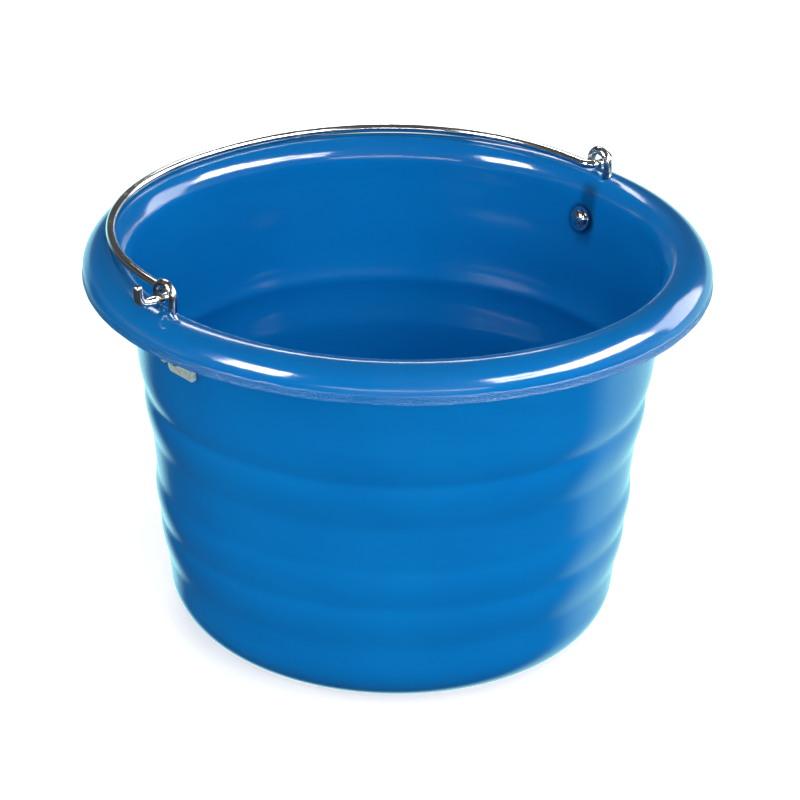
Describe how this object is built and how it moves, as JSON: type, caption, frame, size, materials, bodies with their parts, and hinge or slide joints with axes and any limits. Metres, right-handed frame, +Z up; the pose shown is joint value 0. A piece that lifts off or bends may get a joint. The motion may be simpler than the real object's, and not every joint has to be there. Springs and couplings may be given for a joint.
{
  "type": "feed bucket",
  "caption": "Round moulded plastic feed bucket with a rolled rim, ribbed tapering wall and a loose wire bail held in rod eyes.",
  "frame": {"origin": "middle of the underside, on the surface that the bucket stands on", "axes": "+Z up through the open mouth; X along the bail's pivot line; +Y towards the side the bail lies on at rest"},
  "size_m": [0.4317, 0.43, 0.3025],
  "materials": {
    "blue_plastic": "glossy moulded polyethylene, deep sky blue, fine scuffs",
    "bright_wire": "bright drawn and plated steel wire",
    "zinc_plate": "zinc-plated steel, slightly dulled"
  },
  "bodies": {
    "bucket": {"bucket_shell": "blue_plastic", "left_ear_plate": "zinc_plate", "left_ear_eye": "zinc_plate", "left_bolt": "zinc_plate", "left_inner_washer": "zinc_plate", "left_spring_washer": "zinc_plate", "left_nut": "zinc_plate", "right_ear_plate": "zinc_plate", "right_ear_eye": "zinc_plate", "right_bolt": "zinc_plate", "right_inner_washer": "zinc_plate", "right_spring_washer": "zinc_plate", "right_nut": "zinc_plate"},
    "bail": {"bail_handle": "bright_wire"}
  },
  "joints": [
    {"name": "bail_pivot", "type": "hinge", "parent": "bucket", "child": "bail", "pos_m": [0, 0.0071, 0.2894], "axis": [1, 0, 0], "range_deg": [0, 182]}
  ]
}
